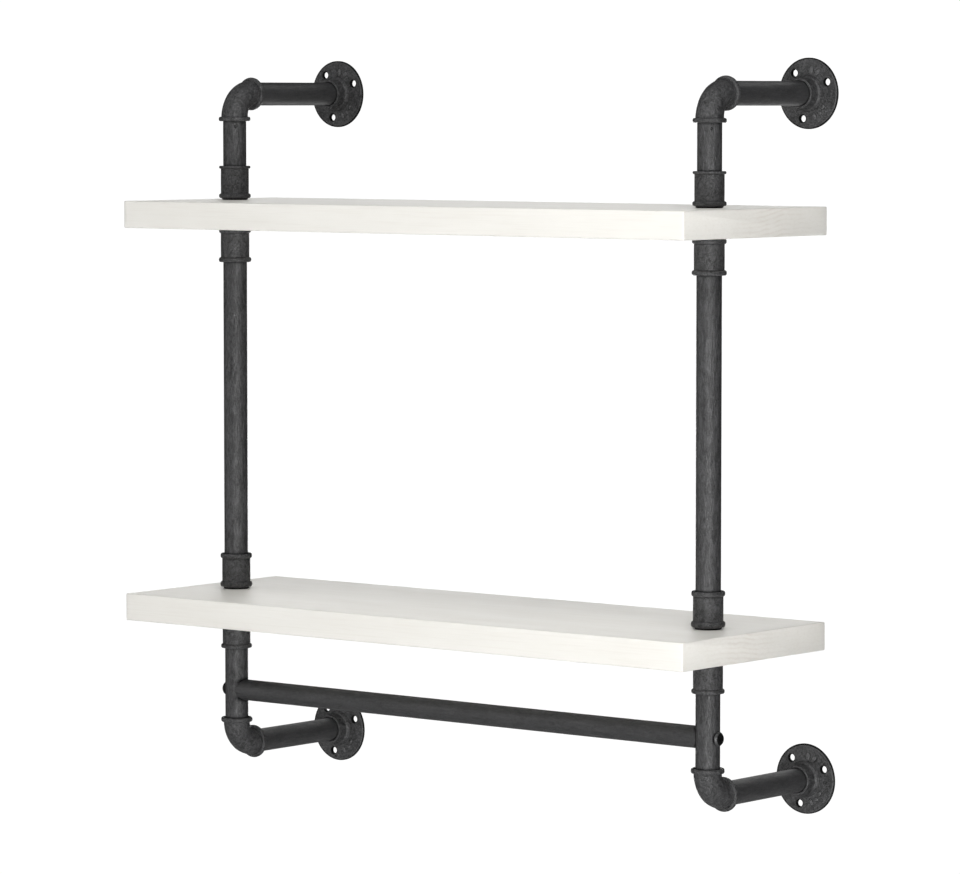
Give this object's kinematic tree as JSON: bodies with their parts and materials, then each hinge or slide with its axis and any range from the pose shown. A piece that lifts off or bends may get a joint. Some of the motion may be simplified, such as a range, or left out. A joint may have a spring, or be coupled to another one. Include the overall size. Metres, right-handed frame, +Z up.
{
  "type": "pipe shelving unit",
  "caption": "Wall-hung open shelf: pale wood boards clamped between couplings on black pipe frames with elbows and round wall flanges, and a towel bar below.",
  "frame": {"origin": "on the wall plane, midway between the uprights and midway between the upper and lower arms' axes", "axes": "+Z up, +Y into the wall, so the front of the shelf faces -Y, and +X to the right seen from the front"},
  "size_m": [0.6096, 0.2356, 0.6364],
  "materials": {
    "pale_wood": "whitewashed softwood, matte",
    "black_pipe": "matte charcoal powder coat on steel pipe",
    "black_casting": "matte charcoal coat on malleable iron, slightly rough",
    "black_screw": "black oxide, satin"
  },
  "bodies": {
    "root": {"upper_shelf_board": "pale_wood", "lower_shelf_board": "pale_wood", "top_nipple_left": "black_pipe", "top_nipple_right": "black_pipe", "coupling_above_upper_board_left": "black_casting", "coupling_above_upper_board_right": "black_casting", "board_nipple_upper_left": "black_pipe", "board_nipple_upper_right": "black_pipe", "coupling_below_upper_board_left": "black_casting", "coupling_below_upper_board_right": "black_casting", "middle_pipe_left": "black_pipe", "middle_pipe_right": "black_pipe", "coupling_above_lower_board_left": "black_casting", "coupling_above_lower_board_right": "black_casting", "board_nipple_lower_left": "black_pipe", "board_nipple_lower_right": "black_pipe", "coupling_below_lower_board_left": "black_casting", "coupling_below_lower_board_right": "black_casting", "lower_pipe_left": "black_pipe", "lower_pipe_right": "black_pipe", "elbow_upper_left": "black_casting", "elbow_upper_right": "black_casting", "elbow_lower_left": "black_casting", "elbow_lower_right": "black_casting", "arm_pipe_upper_left": "black_pipe", "arm_pipe_upper_right": "black_pipe", "arm_pipe_lower_left": "black_pipe", "arm_pipe_lower_right": "black_pipe", "wall_flange_upper_left": "black_casting", "wall_flange_upper_right": "black_casting", "wall_flange_lower_left": "black_casting", "wall_flange_lower_right": "black_casting", "towel_bar": "black_pipe", "bar_plug_left": "black_screw", "bar_plug_right": "black_screw", "bar_screw_left": "black_screw", "bar_screw_right": "black_screw"}
  },
  "joints": []
}
